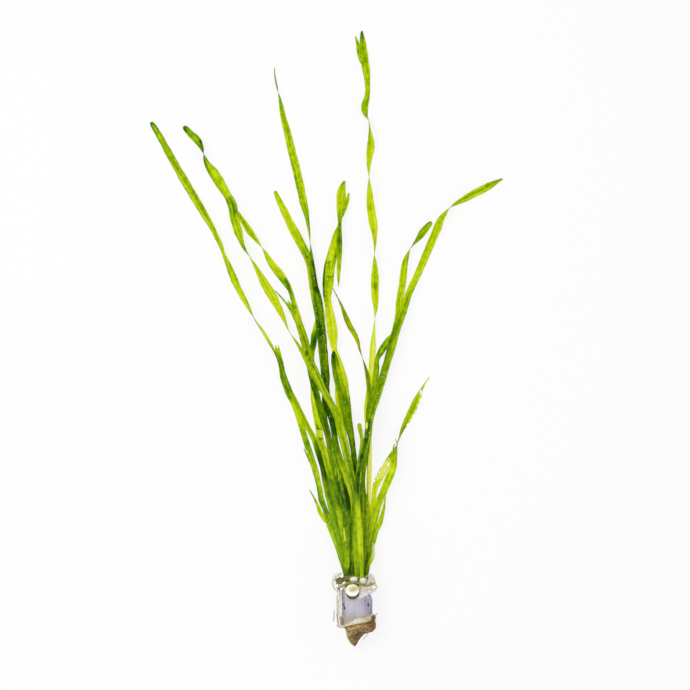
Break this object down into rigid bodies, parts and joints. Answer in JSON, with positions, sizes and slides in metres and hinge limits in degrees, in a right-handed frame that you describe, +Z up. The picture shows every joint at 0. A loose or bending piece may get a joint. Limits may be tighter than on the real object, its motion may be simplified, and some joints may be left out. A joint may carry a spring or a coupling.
{
  "type": "vallisneria aquarium plant",
  "caption": "Ribbon-leaved aquarium plant lying on its side, its twisted grass-like leaves fanning from a crown held in a small sleeve pot of wool and roots.",
  "frame": {"origin": "middle of the pot's flat side that the plant lies on, on the surface", "axes": "+Y from the pot along the plant to the leaf tips, +Z up off the surface, +X to the right seen from above"},
  "size_m": [0.2623, 0.4556, 0.027],
  "materials": {
    "leaf": "satin",
    "crown": "satin",
    "pot": "satin",
    "wool": "matte",
    "root": "matte",
    "pale_root": "satin",
    "pebble": "gloss",
    "ring": "gloss"
  },
  "bodies": {
    "root": {"leaf_01": "leaf", "leaf_02": "leaf", "leaf_03": "leaf", "leaf_04": "leaf", "leaf_05": "leaf", "leaf_06": "leaf", "leaf_07": "leaf", "leaf_08": "leaf", "leaf_09": "leaf", "leaf_10": "leaf", "leaf_11": "leaf", "leaf_12": "leaf", "leaf_13": "leaf", "leaf_14": "leaf", "leaf_15": "leaf", "leaf_16": "leaf", "leaf_17": "leaf", "leaf_18": "leaf", "leaf_19": "leaf", "leaf_20": "leaf", "leaf_21": "leaf", "torn_stub": "leaf", "broken_blade": "leaf", "crown": "crown", "side_shoot": "crown", "runner": "crown", "sleeve_pot": "pot", "wool_plug": "wool", "root_ball": "root", "root_loop_left": "pale_root", "root_loop_right": "pale_root", "root_side_upper": "pale_root", "root_side_lower": "pale_root", "pebble_left": "pebble", "pebble_middle": "pebble", "pebble_right": "pebble", "pebble_side": "pebble", "window_ring": "ring", "window_lens": "pebble"}
  },
  "joints": []
}
